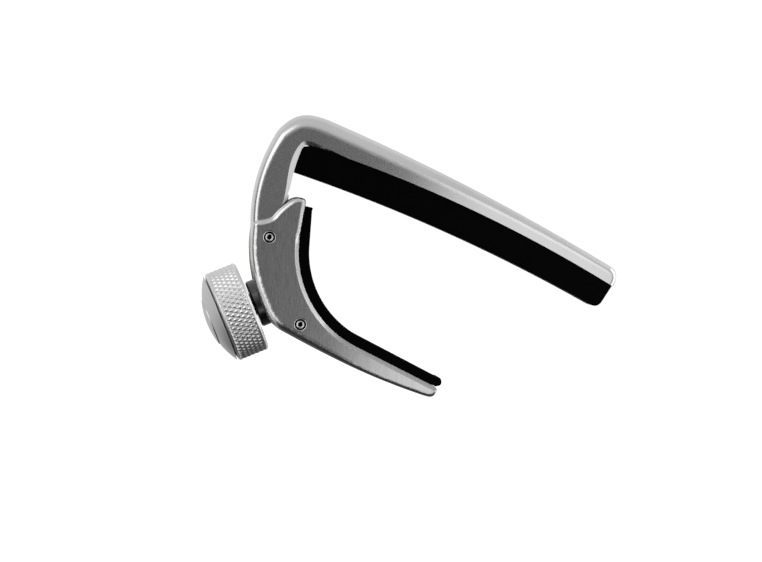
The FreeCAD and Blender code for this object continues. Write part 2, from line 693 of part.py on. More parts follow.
NODES = {
    "frame": make_frame(),
    "string_pad": make_string_pad(),
    "screw_bush": make_screw_bush(),
    "pivot_bush_near": make_pivot_bush(-1),
    "pivot_bush_far": make_pivot_bush(1),
    "return_spring": make_return_spring(),
    "jaw": make_jaw(),
    "jaw_pad": make_jaw_pad(),
    "wear_plate": make_wear_plate(),
    "pivot_barrel": make_barrel(PIVOT),
    "pivot_screw": make_pin_screw(PIVOT),
    "stop_barrel": make_barrel(STOP_PIN),
    "stop_screw": make_pin_screw(STOP_PIN),
    "stop_sleeve": make_stop_sleeve(),
    "thrust_shoe": make_thrust_shoe(),
    "shoe_clip": make_shoe_clip(),
    "adjusting_screw": make_adjusting_screw(),
    "knob": make_knob(),
    "knob_cap": make_knob_cap(),
    "cap_disc": make_cap_disc(),
    "knob_washer": make_knob_washer(),
    "knob_fixing_screw": make_knob_fixing_screw(),
}

os.makedirs("parts", exist_ok=True)
for name, shape in NODES.items():
    solids = shape.Solids
    print(f"{name:20s} solids {len(solids)}  volume {shape.Volume:9.2f} mm3  valid {shape.isValid()}")
    shape.exportStep(f"parts/{name}.step")
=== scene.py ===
import json
import math

import bpy
from mathutils import Matrix, Vector


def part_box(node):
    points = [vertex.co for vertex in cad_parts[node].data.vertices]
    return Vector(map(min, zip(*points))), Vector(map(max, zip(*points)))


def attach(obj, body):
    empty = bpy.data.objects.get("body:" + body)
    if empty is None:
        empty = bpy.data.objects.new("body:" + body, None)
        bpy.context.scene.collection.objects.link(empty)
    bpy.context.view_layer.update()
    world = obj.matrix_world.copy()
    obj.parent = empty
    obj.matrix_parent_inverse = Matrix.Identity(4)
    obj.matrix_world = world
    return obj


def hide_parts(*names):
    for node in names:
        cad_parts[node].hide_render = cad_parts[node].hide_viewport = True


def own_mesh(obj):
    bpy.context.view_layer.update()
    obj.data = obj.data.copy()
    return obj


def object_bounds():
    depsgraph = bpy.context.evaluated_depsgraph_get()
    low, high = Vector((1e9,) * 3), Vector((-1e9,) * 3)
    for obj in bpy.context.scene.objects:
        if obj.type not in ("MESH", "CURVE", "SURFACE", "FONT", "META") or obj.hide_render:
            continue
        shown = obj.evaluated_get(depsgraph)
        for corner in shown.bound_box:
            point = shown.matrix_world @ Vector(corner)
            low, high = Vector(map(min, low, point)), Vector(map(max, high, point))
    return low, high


# A screw-adjusted guitar capo. Lengths in this script are in millimetres until they reach a mesh.
MM = 0.001

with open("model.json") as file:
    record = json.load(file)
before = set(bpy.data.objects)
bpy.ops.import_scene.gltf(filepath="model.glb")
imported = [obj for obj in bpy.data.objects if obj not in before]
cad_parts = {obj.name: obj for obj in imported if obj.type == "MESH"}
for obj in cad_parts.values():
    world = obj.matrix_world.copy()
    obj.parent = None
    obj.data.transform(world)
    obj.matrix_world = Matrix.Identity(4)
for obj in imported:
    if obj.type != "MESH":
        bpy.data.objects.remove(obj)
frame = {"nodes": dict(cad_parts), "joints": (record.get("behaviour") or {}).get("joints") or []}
cad_low, cad_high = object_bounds()
nodes = frame["nodes"]
spin = next(j for j in frame["joints"] if j["name"] == "knob_spin")

KNOB_FACE = Vector(spin["pos_m"]) / MM
SCREW_AXIS = Vector(spin["axis"]).normalized()
SCREW_ACROSS = Vector((-SCREW_AXIS.z, 0, SCREW_AXIS.x))
ALONG_Y = Vector((0, 1, 0))


# ---------------------------------------------------------------- mesh helpers
def enclosed_volume(points, faces):
    """Six times the volume inside a closed mesh; below 0 where its faces look inwards."""
    volume = 0.0
    for face in faces:
        first, *others = (Vector(points[i]) for i in face)
        for second, third in zip(others, others[1:]):
            volume += first.dot(second.cross(third))
    return volume


def make_piece(name, points, faces, body, stands_for, sharp_angle=None):
    """A piece of the object from points in millimetres; it rides a body and replaces CAD nodes."""
    mesh = bpy.data.meshes.new(name)
    if enclosed_volume(points, faces) < 0:
        faces = [tuple(reversed(face)) for face in faces]
    mesh.from_pydata([Vector(p) * MM for p in points], [], faces)
    mesh.validate()
    mesh.polygons.foreach_set("use_smooth", [True] * len(mesh.polygons))
    if sharp_angle:
        mesh.set_sharp_from_angle(angle=math.radians(sharp_angle))
    mesh.update()
    piece = bpy.data.objects.new(name, mesh)
    bpy.context.scene.collection.objects.link(piece)
    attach(piece, body)
    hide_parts(*stands_for)
    return piece


def ring_faces(rings, around, closed=False):
    """Quads between rings of points that each have the same count around."""
    faces = []
    for ring in range(rings if closed else rings - 1):
        low = ring * around
        high = (ring + 1) % rings * around
        for i in range(around):
            j = (i + 1) % around
            faces.append((low + i, low + j, high + j, high + i))
    return faces


def end_caps(rings, around):
    """The two faces that close the first and the last ring."""
    last = (rings - 1) * around
    return [tuple(reversed(range(around))), tuple(range(last, last + around))]


def screw_point(along, radius, angle):
    """A point on a circle round the screw's axis, along mm from the knob's face."""
    outward = SCREW_ACROSS * math.cos(angle) + ALONG_Y * math.sin(angle)
    return KNOB_FACE + SCREW_AXIS * along + outward * radius


def pin_point(centre, along, radius, angle):
    """A point on a circle round a pin that lies along Y through a side-view centre."""
    return Vector((centre.x + radius * math.cos(angle), along, centre.z + radius * math.sin(angle)))


def turned(rows, point_at, around):
    """Points and faces of a turned solid from rows of (along, radius) or (along, radius, "hexagon").

    The rows run round the solid's half section from axis to axis; the radius of a hexagon is that
    of its corners.
    """
    points = []
    for along, radius, *shape in rows:
        for i in range(around):
            angle = math.tau * i / around
            reach = radius
            if shape:
                reach *= math.cos(math.pi / 6) / math.cos(angle % (math.pi / 3) - math.pi / 6)
            points.append(point_at(along, reach, angle))
    return points, ring_faces(len(rows), around) + end_caps(len(rows), around)


ARC_STEPS = 4
ARC_SHARE = 0.4


def rounded(profile, radius):
    """A closed (along, radius) profile with each corner replaced by an arc of ARC_STEPS steps.

    An arc takes up at most ARC_SHARE of each side of its corner.
    """
    result = []
    count = len(profile)
    for i in range(count):
        corner = Vector(profile[i])
        before = Vector(profile[i - 1]) - corner
        after = Vector(profile[(i + 1) % count]) - corner
        reach = min(radius, before.length * ARC_SHARE, after.length * ARC_SHARE)
        start = corner + before.normalized() * reach
        end = corner + after.normalized() * reach
        for step in range(ARC_STEPS + 1):
            t = step / ARC_STEPS
            result.append((start * (1 - t) ** 2 + corner * 2 * t * (1 - t) + end * t**2)[:])
    return result


def weight_normals(piece):
    """Shades the large faces flat, so that only the rounded edges between them look curved."""
    modifier = piece.modifiers.new("WeightedNormal", "WEIGHTED_NORMAL")
    modifier.keep_sharp = True
    modifier.weight = 80


# ---------------------------------------------------------------- knob
# The knob's face, at 0 along the screw, looks at the leg; the dome is at its back, below 0.
knob_low, knob_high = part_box("knob")
KNOB_RADIUS = (knob_high.y - knob_low.y) / 2 / MM
KNOB_LENGTH = 6.8
KNOB_ROUND = 0.12
SCREW_HOLE_RADIUS = 2.02
COLLAR_RECESS_RADIUS = 5.2
COLLAR_RECESS_FLOOR = -3.4
CAP_SEAT_RADIUS = 7.02
KNOB_WEB_BACK = -5.42
KNOB_LIP_BACK = -6.45
# The diamonds: how many go round, the mesh steps across one, and its length and the rows along it.
KNURL_AROUND = 58
KNURL_STEPS = 8
KNURL_PITCH = 1.8
KNURL_PITCH_ROWS = 18
KNURL_DEPTH = 0.24
KNURL_BLUNTING = 1.12
KNURL_FADE_ROWS = 2
KNURL_FRONT = -0.62
KNURL_BACK = -6.1
KNURL_ROWS = round((KNURL_FRONT - KNURL_BACK) / KNURL_PITCH * KNURL_PITCH_ROWS)


def ridge(value):
    """0 in a groove, at whole numbers, rising to 1 half way between."""
    return 1 - abs(1 - 2 * (value - math.floor(value)))


def knurl_drop(turn, row):
    """How far below the crests the diamond knurl lies, in mm."""
    u = turn * KNURL_AROUND
    w = row / KNURL_PITCH_ROWS
    height = min(ridge(u + w), ridge(u - w))
    fade = min(1.0, row / KNURL_FADE_ROWS, (KNURL_ROWS - row) / KNURL_FADE_ROWS)
    return KNURL_DEPTH * (1 - min(1.0, height * KNURL_BLUNTING)) * max(0.0, fade)


def make_knob():
    """The drum: the collar's recess in front, the knurl round it, the cap's seat at the back."""
    front = [
        (COLLAR_RECESS_FLOOR, SCREW_HOLE_RADIUS),
        (COLLAR_RECESS_FLOOR, COLLAR_RECESS_RADIUS),
        (-0.25, COLLAR_RECESS_RADIUS),
        (0.0, COLLAR_RECESS_RADIUS + 0.25),
        (0.0, KNOB_RADIUS - 0.35),
        (-0.45, KNOB_RADIUS),
    ]
    back = [
        (KNOB_LIP_BACK + 0.25, KNOB_RADIUS),
        (KNOB_LIP_BACK, KNOB_RADIUS - 0.25),
        (-KNOB_LENGTH + 0.03, KNOB_RADIUS - 1.4),
        (-KNOB_LENGTH, KNOB_RADIUS - 1.5),
        (-KNOB_LENGTH, CAP_SEAT_RADIUS),
        (KNOB_WEB_BACK, CAP_SEAT_RADIUS),
        (KNOB_WEB_BACK, SCREW_HOLE_RADIUS),
    ]
    profile = rounded(front + back, KNOB_ROUND)
    split = len(front) * (ARC_STEPS + 1)
    knurl_step = (KNURL_FRONT - KNURL_BACK) / KNURL_ROWS
    knurl = [(KNURL_FRONT - row * knurl_step, KNOB_RADIUS) for row in range(KNURL_ROWS + 1)]
    around = KNURL_AROUND * KNURL_STEPS
    points = []
    rows = profile[:split] + knurl + profile[split:]
    for index, (along, radius) in enumerate(rows):
        row = index - split
        for i in range(around):
            drop = knurl_drop(i / around, row) if 0 <= row <= KNURL_ROWS else 0
            points.append(screw_point(along, radius - drop, math.tau * i / around))
    faces = ring_faces(len(rows), around, closed=True)
    return make_piece("knurled_knob", points, faces, "knob", ["knob"], 50)


knob = make_knob()


AXIS_RADIUS = 0.02  # the small flat in which a turned mesh ends on its axis
CAP_AROUND = 144
PIN_AROUND = 72
DOME_SPHERE_RADIUS = 15.9
DOME_TOP = -9.6
DOME_EDGE = 8.82
SKIRT_RADIUS = CAP_SEAT_RADIUS - 0.04
CAP_BORE_RADIUS = 5.8
CAP_BORE_FLOOR = -7.8
DISC_RADIUS = 4.85
DISC_GAP = 0.1
DISC_RAISED = 0.12
POCKET_FLOOR = -8.62


def on_dome(radius):
    """How far along the screw the dome's surface lies at a radius."""
    return DOME_TOP + DOME_SPHERE_RADIUS - math.sqrt(DOME_SPHERE_RADIUS**2 - radius**2)


def dome_rows(first, last, steps):
    """Rows of a turned solid over the dome, from one radius to another."""
    radii = [first + (last - first) * i / steps for i in range(steps + 1)]
    return [(on_dome(radius), radius) for radius in radii]


def make_knob_cap():
    """The domed cap: a sphere with a small round at its rim and at the edge of the disc's pocket."""
    pocket = DISC_RADIUS + DISC_GAP
    rows = [(POCKET_FLOOR, AXIS_RADIUS), (POCKET_FLOOR, pocket)]
    rows += [(on_dome(pocket) + 0.08, pocket), (on_dome(pocket) + 0.02, pocket + 0.02)]
    rows += dome_rows(pocket + 0.08, DOME_EDGE, 24)
    rows += [(-6.90, 8.92), (-6.86, 8.96), (-6.82, 8.96), (-KNOB_LENGTH, 8.93)]
    rows += [(-KNOB_LENGTH, SKIRT_RADIUS), (KNOB_WEB_BACK, SKIRT_RADIUS - 0.02)]
    rows += [(KNOB_WEB_BACK, CAP_BORE_RADIUS), (CAP_BORE_FLOOR, CAP_BORE_RADIUS)]
    rows += [(CAP_BORE_FLOOR, AXIS_RADIUS)]
    points, faces = turned(rows, screw_point, CAP_AROUND)
    return make_piece("domed_cap", points, faces, "knob", ["knob_cap"], 35)


def make_cap_disc():
    """The plain disc: it follows the dome, a little proud of it, with a small round at its rim."""
    edge = DISC_RADIUS - DISC_GAP
    rim = on_dome(edge) - DISC_RAISED
    under = POCKET_FLOOR - 0.01
    over = dome_rows(AXIS_RADIUS, edge - 0.08, 16)
    rows = [(along - DISC_RAISED, radius) for along, radius in over]
    rows += [(rim + 0.01, edge - 0.02), (rim + 0.07, edge), (under, edge), (under, AXIS_RADIUS)]
    points, faces = turned(rows, screw_point, CAP_AROUND)
    return make_piece("plain_disc", points, faces, "knob", ["cap_disc"], 35)


knob_cap = make_knob_cap()
cap_disc = make_cap_disc()


# ---------------------------------------------------------------- adjusting screw
SCREW_MAJOR = 2.44
SCREW_MINOR = 2.02
THREAD_PITCH = 0.8
THREAD_FROM = -3.2
THREAD_TO = 6.7
THREAD_FADE = 0.4
SHANK_RADIUS = 1.98
NOSE_RADIUS = 1.48
CLIP_GROOVE_RADIUS = 1.1


def thread_radius(along, turn):
    """The threaded part's radius: a V thread with flat crests that fades out at both ends."""
    height = ridge(along / THREAD_PITCH - turn)
    fade = min(1.0, (along - THREAD_FROM) / THREAD_FADE, (THREAD_TO - along) / THREAD_FADE)
    crest = (SCREW_MAJOR - SCREW_MINOR) * min(1.0, max(0.0, height * 1.3 - 0.1))
    return SCREW_MINOR + crest * fade


def make_adjusting_screw():
    """The spindle: a shank in the knob, the thread, and a nose with the snap ring's groove."""
    around = 48
    steps = 12
    count = int((THREAD_TO - THREAD_FROM) / THREAD_PITCH * steps)
    rows = [(-5.38, AXIS_RADIUS), (-5.38, SHANK_RADIUS), (-3.42, SHANK_RADIUS)]
    rows += [(-3.38, SCREW_MINOR)]
    rows += [(THREAD_FROM + i * THREAD_PITCH / steps, None) for i in range(count + 1)]
    rows += [(6.8, SCREW_MINOR), (6.95, 1.75), (6.95, 1.5), (7.2, NOSE_RADIUS)]
    rows += [(7.22, CLIP_GROOVE_RADIUS), (7.58, CLIP_GROOVE_RADIUS), (7.6, NOSE_RADIUS)]
    rows += [(7.82, NOSE_RADIUS), (7.9, 1.3), (7.9, AXIS_RADIUS)]
    stands_for = ["adjusting_screw"]
    points = []
    for along, radius in rows:
        for i in range(around):
            turn = i / around
            reach = thread_radius(along, turn) if radius is None else radius
            points.append(screw_point(along, reach, math.tau * turn))
    faces = ring_faces(len(rows), around) + end_caps(len(rows), around)
    return make_piece("threaded_screw", points, faces, "knob", stands_for, 50)


screw = make_adjusting_screw()


# ---------------------------------------------------------------- pins
# Both pins lie along Y, with the screw's head at the near end, below 0.
PIN_END = 6.15
BARREL_RADIUS = 1.35
COUNTERBORE_RADIUS = 1.1
BORE_RADIUS = 0.8
HEAD_RADIUS = 0.87
PIN_SHANK_RADIUS = 0.79

# A hexagon in the far end, a rounded rim, the barrel, a rounded rim, the counterbore, the bore.
BARREL_ROWS = [
    (5.55, AXIS_RADIUS),
    (5.55, 0.72, "hexagon"),
    (6.08, 0.75, "hexagon"),
    (6.14, 0.82, "hexagon"),
    (PIN_END, 0.95),
    (PIN_END, 1.18),
    (6.12, 1.28),
    (6.03, 1.34),
    (5.95, BARREL_RADIUS),
    (-5.95, BARREL_RADIUS),
    (-6.06, 1.34),
    (-PIN_END, 1.30),
    (-6.19, 1.24),
    (-6.2, 1.19),
    (-6.16, 1.14),
    (-6.0, 1.11),
    (-5.3, COUNTERBORE_RADIUS),
    (-5.25, 0.82),
    (-5.2, BORE_RADIUS),
    (2.25, BORE_RADIUS),
    (2.25, AXIS_RADIUS),
]

# A hexagon socket, a domed head, the shank.
PIN_SCREW_ROWS = [
    (-5.1, AXIS_RADIUS),
    (-5.35, 0.5, "hexagon"),
    (-6.02, 0.52, "hexagon"),
    (-6.08, 0.57, "hexagon"),
    (-6.09, 0.62),
    (-6.06, 0.72),
    (-5.98, 0.80),
    (-5.86, 0.85),
    (-5.7, HEAD_RADIUS),
    (-5.32, HEAD_RADIUS),
    (-5.28, 0.84),
    (-5.27, 0.8),
    (-5.2, PIN_SHANK_RADIUS),
    (1.7, PIN_SHANK_RADIUS),
    (1.74, 0.7),
    (1.74, AXIS_RADIUS),
]


def make_pin_part(node, rows):
    """A barrel or a pin screw, turned round the middle of its CAD node."""
    low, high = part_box(node)
    centre = (low + high) / 2 / MM
    points, faces = turned(rows, lambda *spot: pin_point(centre, *spot), PIN_AROUND)
    return make_piece(node + "_turned", points, faces, "jaw", [node], 50)


pins = [make_pin_part(node, BARREL_ROWS) for node in ("pivot_barrel", "stop_barrel")]
pins += [make_pin_part(node, PIN_SCREW_ROWS) for node in ("pivot_screw", "stop_screw")]


def make_return_spring():
    """A coil spring along X with closed ends; wire is the radius of the wire."""
    low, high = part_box("return_spring")
    wire = 0.18
    coil = (high.y - low.y) / 2 / MM - wire
    start_x = low.x / MM + wire
    length = (high.x - low.x) / MM - 2 * wire
    height = (low.z + high.z) / 2 / MM
    turns = 7.0
    closed_turns = 0.9
    per_turn = 40
    sides = 10
    count = int(turns * per_turn)
    path = []
    free_turns = turns - 2 * closed_turns
    end_gap = 2 * wire * closed_turns
    for i in range(count + 1):
        turn = turns * i / count
        free = min(max(turn - closed_turns, 0), free_turns) / free_turns
        rise = min(turn, closed_turns) / closed_turns * end_gap
        rise += max(turn - turns + closed_turns, 0) / closed_turns * end_gap
        x = start_x + rise + free * (length - 2 * end_gap)
        angle = math.tau * turn
        path.append(Vector((x, coil * math.cos(angle), height + coil * math.sin(angle))))
    points = []
    for i, centre in enumerate(path):
        tangent = (path[min(i + 1, count)] - path[max(i - 1, 0)]).normalized()
        outward = Vector((0, centre.y, centre.z - height)).normalized()
        other = tangent.cross(outward).normalized()
        for side in range(sides):
            a = math.tau * side / sides
            points.append(centre + (outward * math.cos(a) + other * math.sin(a)) * wire)
    faces = ring_faces(len(path), sides) + end_caps(len(path), sides)
    return make_piece("spring_coil", points, faces, "frame", ["return_spring"])


spring = make_return_spring()
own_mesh(spring)


# ---------------------------------------------------------------- rubber pads
def arc_points(start, via, end, count):
    """Points along the circle through three side-view points, without the last one."""
    ax, az = start
    bx, bz = via
    cx, cz = end
    d = 2 * (ax * (bz - cz) + bx * (cz - az) + cx * (az - bz))
    a2, b2, c2 = ax**2 + az**2, bx**2 + bz**2, cx**2 + cz**2
    ux = (a2 * (bz - cz) + b2 * (cz - az) + c2 * (az - bz)) / d
    uz = (a2 * (cx - bx) + b2 * (ax - cx) + c2 * (bx - ax)) / d
    radius = math.hypot(ax - ux, az - uz)
    first = math.atan2(az - uz, ax - ux)
    last = math.atan2(cz - uz, cx - ux)
    turn = (last - first + math.pi) % math.tau - math.pi
    angles = [first + turn * i / count for i in range(count)]
    return [(ux + radius * math.cos(angle), uz + radius * math.sin(angle)) for angle in angles]


def line_points(start, end, count):
    """Points along a line, without the last one."""
    return [tuple(start[k] + (end[k] - start[k]) * i / count for k in (0, 1)) for i in range(count)]


def soft_corner(before, corner, after, count):
    """Points along a rounded corner, from before to just short of after."""
    points = []
    for i in range(count):
        t = i / count
        a, b, c = (1 - t) ** 2, 2 * t * (1 - t), t * t
        points.append(tuple(before[k] * a + corner[k] * b + after[k] * c for k in (0, 1)))
    return points


EDGE_STEPS = 5


def moulded_bar(outline, half_width, edge_radius):
    """Points and faces of a bar along Y whose side view is an outline, with rounded long edges.

    outline is a closed list of side-view points that runs anticlockwise; edge_radius gives the
    round at each of them.
    """
    count = len(outline)
    inward = []
    for i in range(count):
        ahead = Vector(outline[(i + 1) % count]) - Vector(outline[i])
        behind = Vector(outline[i]) - Vector(outline[i - 1])
        direction = (ahead.normalized() + behind.normalized()).normalized()
        inward.append(Vector((-direction.y, direction.x)))
    angles = [math.pi / 2 * step / EDGE_STEPS for step in range(EDGE_STEPS + 1)]
    quarter = [(1 - math.sin(angle), 1 - math.cos(angle)) for angle in angles]
    levels = [(-1, *shares) for shares in quarter] + [(1, *shares) for shares in reversed(quarter)]
    points = []
    for side, inset, drop in levels:
        for i in range(count):
            spot = Vector(outline[i]) + inward[i] * edge_radius[i] * inset
            y = side * (half_width - edge_radius[i] * drop)
            points.append((spot.x, y, spot.y))
    return points, ring_faces(len(levels), count) + end_caps(len(levels), count)


STRING_PAD_HALF_WIDTH = 4.5
JAW_PAD_HALF_WIDTH = 5.5
JAW_PAD_THICKNESS = 2.15
# The rounds of the pads' long edges: on the side that is pressed, at the ends, against the metal.
PRESSED_ROUND = 0.4
STRING_ROUND = 0.42
END_ROUND = 0.3
BACK_ROUND = 0.25
SEAT_ROUND = 0.14


def make_string_pad():
    """The side view runs along the strings, up the toe, back along the arm and down the leg."""
    contact = arc_points((-31.5, -1.45), (1.4, 0.0), (33.4, -1.53), 96)
    toe = soft_corner((33.4, -1.53), (35.0, -1.7), (35.35, -0.2), 14)
    end = line_points((35.35, -0.2), (35.93, 3.5), 8)
    seat = arc_points((35.93, 3.6), (-1.9, 6.17), (-30.4, 4.72), 90)
    corner = soft_corner((-30.4, 4.72), (-31.85, 4.4), (-31.97, 3.0), 10)
    back = line_points((-31.97, 3.0), (-31.52, -1.25), 10)
    outline = contact + toe + end + seat + corner + back
    radii = [STRING_ROUND] * (len(contact) + len(toe)) + [END_ROUND] * len(end)
    radii += [SEAT_ROUND] * (len(seat) + len(corner)) + [BACK_ROUND] * len(back)
    points, faces = moulded_bar(outline, STRING_PAD_HALF_WIDTH, radii)
    stands_for = ["string_pad"]
    return make_piece("moulded_string_pad", points, faces, "frame", stands_for, 60)


SEAT_CENTRE = (-5.14, -7.34)
SEAT_RADIUS = 20.95


def tangent_point(point, radius, side):
    """Where a line from a point touches a circle round the hollow's centre."""
    dx = point[0] - SEAT_CENTRE[0]
    dz = point[1] - SEAT_CENTRE[1]
    angle = math.atan2(dz, dx) + side * math.acos(radius / math.hypot(dx, dz))
    return (SEAT_CENTRE[0] + radius * math.cos(angle), SEAT_CENTRE[1] + radius * math.sin(angle))


def hollow_points(radius, horn_point, finger_point):
    """Along the jaw's hollow, from the horn to the finger: straight, round, straight."""
    horn_touch = tangent_point(horn_point, radius, 1)
    finger_touch = tangent_point(finger_point, radius, -1)
    first = math.atan2(horn_touch[1] - SEAT_CENTRE[1], horn_touch[0] - SEAT_CENTRE[0])
    last = math.atan2(finger_touch[1] - SEAT_CENTRE[1], finger_touch[0] - SEAT_CENTRE[0])
    middle = first + ((last - first + math.pi) % math.tau - math.pi) / 2
    via = (SEAT_CENTRE[0] + radius * math.cos(middle), SEAT_CENTRE[1] + radius * math.sin(middle))
    points = line_points(horn_point, horn_touch, 12)
    points += arc_points(horn_touch, via, finger_touch, 60)
    points += line_points(finger_touch, finger_point, 24)
    return points + [finger_point]


def make_jaw_pad():
    """The side view runs down the jaw's hollow, round the finger's end and back up the pad's face."""
    seat = hollow_points(SEAT_RADIUS - 0.02, (-26.75, -6.95), (11.3, -29.1))
    finger_end = soft_corner((11.6, -29.1), (12.5, -28.6), (12.45, -28.1), 6)
    finger_end += soft_corner((12.4, -27.9), (11.95, -26.95), (11.3, -27.2), 10)
    face = hollow_points(SEAT_RADIUS - JAW_PAD_THICKNESS, (-25.25, -6.95), (11.2, -27.25))
    face.reverse()
    horn_end = soft_corner((-25.22, -6.8), (-25.2, -6.42), (-25.6, -6.46), 8)
    horn_end += soft_corner((-26.3, -6.6), (-26.75, -6.68), (-26.78, -6.9), 6)
    outline = seat + finger_end + face + horn_end
    radii = [SEAT_ROUND] * len(seat) + [END_ROUND] * len(finger_end)
    radii += [PRESSED_ROUND] * len(face) + [END_ROUND] * len(horn_end)
    points, faces = moulded_bar(outline, JAW_PAD_HALF_WIDTH, radii)
    return make_piece("moulded_jaw_pad", points, faces, "jaw", ["jaw_pad"], 60)


string_pad = make_string_pad()
jaw_pad = make_jaw_pad()
for pad in (string_pad, jaw_pad):
    weight_normals(pad)


# ---------------------------------------------------------------- materials
UNIT = 1 / MM  # the size of noise on stretched coordinates, which carry the sizes themselves
RING_WIDTH = 0.12
# the grey of the painted shade in the pins' end recesses
RECESS_SHADE_DARK = 0.012


class Shader:
    """A principled material with helpers that add procedural detail in the object's own frame."""

    def __init__(self, name):
        self.material = bpy.data.materials.new(name)
        self.material.use_nodes = True
        self.tree = self.material.node_tree
        self.surface = self.tree.nodes["Principled BSDF"]
        self.place = self.tree.nodes.new("ShaderNodeTexCoord").outputs["Object"]
        self.normal = None

    def set(self, **values):
        for key, value in values.items():
            self.surface.inputs[key.replace("_", " ")].default_value = value
        return self

    def node(self, kind, inputs=(), **settings):
        node = self.tree.nodes.new("ShaderNode" + kind)
        for key, value in settings.items():
            setattr(node, key, value)
        for key, value in dict(inputs).items():
            if isinstance(value, bpy.types.NodeSocket):
                self.tree.links.new(value, node.inputs[key])
            else:
                node.inputs[key].default_value = value
        return node

    def math(self, operation, a, b=0.0):
        return self.node("Math", {0: a, 1: b}, operation=operation).outputs[0]

    def vector(self, operation, inputs):
        return self.node("VectorMath", inputs, operation=operation)

    def noise(self, size, detail=2.0, roughness=0.5, place=None):
        """Noise whose patches are about size mm across, from 0 to 1."""
        inputs = {"Vector": place or self.place, "Scale": 1 / (size * MM)}
        inputs.update({"Detail": detail, "Roughness": roughness})
        return self.node("TexNoise", inputs).outputs["Fac"]

    def stretched(self, sizes, turn_y=0.0):
        """Object coordinates turned about Y, then divided by a size in mm along each axis."""
        mapping = self.node("Mapping", {"Vector": self.place}, vector_type="TEXTURE")
        mapping.inputs["Rotation"].default_value = (0, turn_y, 0)
        mapping.inputs["Scale"].default_value = [s * MM for s in sizes]
        return mapping.outputs["Vector"]

    def spread(self, value, low, high, from_low=0.3, from_high=0.7):
        """A value carried from one range to another; most noise lies from 0.3 to 0.7."""
        inputs = {"Value": value, "From Min": from_low, "From Max": from_high}
        inputs.update({"To Min": low, "To Max": high})
        return self.node("MapRange", inputs).outputs["Result"]

    def mix(self, factor, first, second):
        """One colour where the factor is 0, the other where it is 1."""
        node = self.node("Mix", data_type="RGBA")
        colors = [socket for socket in node.inputs if socket.type == "RGBA"]
        for socket, value in zip((node.inputs["Factor"], *colors), (factor, first, second)):
            if isinstance(value, bpy.types.NodeSocket):
                self.tree.links.new(value, socket)
            else:
                socket.default_value = value
        return next(socket for socket in node.outputs if socket.type == "RGBA")

    def bump(self, height, depth):
        """Adds relief; depth is in mm."""
        node = self.node("Bump", {"Height": height, "Distance": depth * MM, "Strength": 1.0})
        if self.normal:
            self.tree.links.new(self.normal, node.inputs["Normal"])
        self.normal = node.outputs["Normal"]
        self.tree.links.new(self.normal, self.surface.inputs["Normal"])
        return self

    def link(self, value, socket):
        self.tree.links.new(value, self.surface.inputs[socket])
        return self

    def turned_distance(self):
        """Distance from the screw's axis plus distance along it, in mm."""
        spot = self.vector("SUBTRACT", {0: self.place, 1: KNOB_FACE * MM}).outputs[0]
        along = self.vector("DOT_PRODUCT", {0: spot, 1: SCREW_AXIS}).outputs["Value"]
        on_axis = self.vector("SCALE", {0: SCREW_AXIS, "Scale": along}).outputs[0]
        off_axis = self.vector("SUBTRACT", {0: spot, 1: on_axis}).outputs[0]
        radius = self.vector("LENGTH", {0: off_axis}).outputs["Value"]
        return self.math("MULTIPLY", self.math("ADD", radius, along), 1 / MM)


def grey(level, warmth=0.0):
    """A grey, a touch towards red and away from blue if it is warm."""
    return (level * (1 + warmth), level, level * (1 - warmth), 1)


def satin_metal(name, level, roughness, grain=0.26, grain_depth=0.0004):
    """Bead-blasted, clear-anodised alloy: a fine even grain over faint clouding."""
    shader = Shader(name).set(Metallic=1.0)
    clouds = shader.noise(9.0, 3.0)
    fine = shader.noise(grain, 3.0, 0.6)
    darker, lighter = grey(level * 0.95, 0.004), grey(level * 1.04, 0.004)
    tone = shader.mix(shader.spread(clouds, 0, 1), darker, lighter)
    speckled = shader.mix(shader.spread(fine, 0.0, 0.5), tone, grey(level * 0.95, 0.002))
    shader.link(speckled, "Base Color")
    shader.link(shader.spread(fine, roughness - 0.03, roughness + 0.04), "Roughness")
    shader.bump(fine, grain_depth)
    return shader


def brushed_metal(name, level, roughness, turn_y):
    """Fine straight brushing along one direction of the side view."""
    shader = Shader(name).set(Metallic=1.0)
    lines = shader.noise(UNIT, 4.0, 0.62, shader.stretched((0.075, 0.5, 2.2), turn_y))
    streaks = shader.noise(UNIT, 2.0, 0.5, shader.stretched((0.9, 3.0, 9.0), turn_y))
    fine = shader.noise(0.16, 2.0)
    darker, lighter = grey(level * 0.93, 0.004), grey(level * 1.05, 0.004)
    tone = shader.mix(shader.spread(streaks, 0, 1), darker, lighter)
    lined = shader.mix(shader.spread(lines, 0.0, 0.5), tone, grey(level * 0.86, 0.003))
    shader.link(lined, "Base Color")
    shader.link(shader.spread(lines, roughness - 0.06, roughness + 0.07), "Roughness")
    shader.bump(lines, 0.0006).bump(fine, 0.0003)
    return shader


def turned_metal(name, level, roughness, depth=0.004):
    """Metal with fine rings left by turning, round the screw's axis."""
    shader = Shader(name).set(Metallic=1.0)
    inputs = {"W": shader.turned_distance(), "Scale": 1 / RING_WIDTH, "Detail": 3.0}
    rings = shader.node("TexNoise", inputs, noise_dimensions="1D").outputs["Fac"]
    fine = shader.noise(0.17, 2.0)
    tone = shader.mix(shader.spread(rings, 0, 1), grey(level * 0.9), grey(level * 1.06))
    shader.link(tone, "Base Color")
    shader.link(shader.spread(fine, roughness - 0.05, roughness + 0.05), "Roughness")
    shader.bump(rings, depth).bump(fine, 0.003)
    return shader


def rubber(name):
    """Deep black moulded rubber with a fine grain and a faint bloom."""
    shader = Shader(name).set(Specular_IOR_Level=0.03)
    grain = shader.noise(0.22, 3.0, 0.6)
    bloom = shader.noise(5.0, 4.0)
    tone = shader.mix(shader.spread(bloom, 0, 1), grey(0.0005), grey(0.0010, 0.01))
    shader.link(tone, "Base Color")
    shader.link(shader.spread(grain, 0.5, 0.68), "Roughness")
    shader.bump(grain, 0.012)
    return shader


